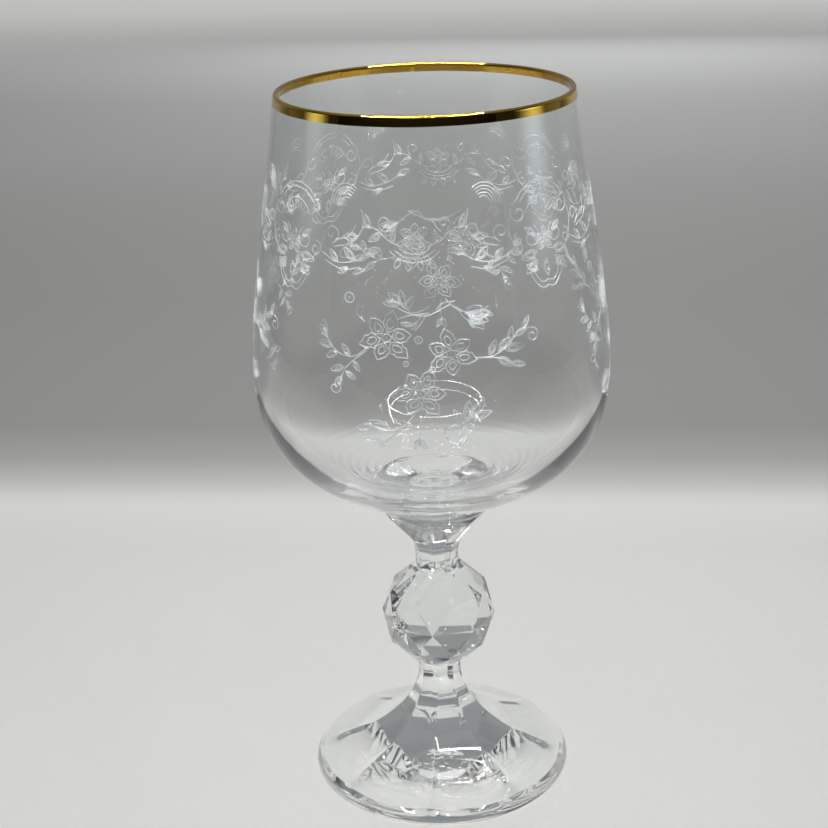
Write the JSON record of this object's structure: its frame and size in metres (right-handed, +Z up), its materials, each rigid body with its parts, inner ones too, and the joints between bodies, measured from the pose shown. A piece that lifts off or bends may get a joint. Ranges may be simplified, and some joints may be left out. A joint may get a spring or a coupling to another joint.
{
  "type": "stemmed wine glass",
  "caption": "Stemmed drinking glass with a round bowl that narrows to a gilded lip, a facet-cut ball knop and a flared stem on a round panelled foot.",
  "frame": {"origin": "centre of the foot's underside, on the surface that the glass stands on", "axes": "+Z up along the axis of the stem and bowl; a ridge of the foot, knop and stem stands on each of +X, -X, +Y and -Y"},
  "size_m": [0.08, 0.08, 0.165],
  "materials": {
    "glass": "clear polished crystal, fire-polished bowl and cut facets, with a faint cool tint",
    "gilding": "fired bright gold, burnished round the lip"
  },
  "bodies": {
    "root": {"foot": "glass", "knop": "glass", "upper_stem": "glass", "bowl": "glass", "gold_rim": "gilding"}
  },
  "joints": []
}
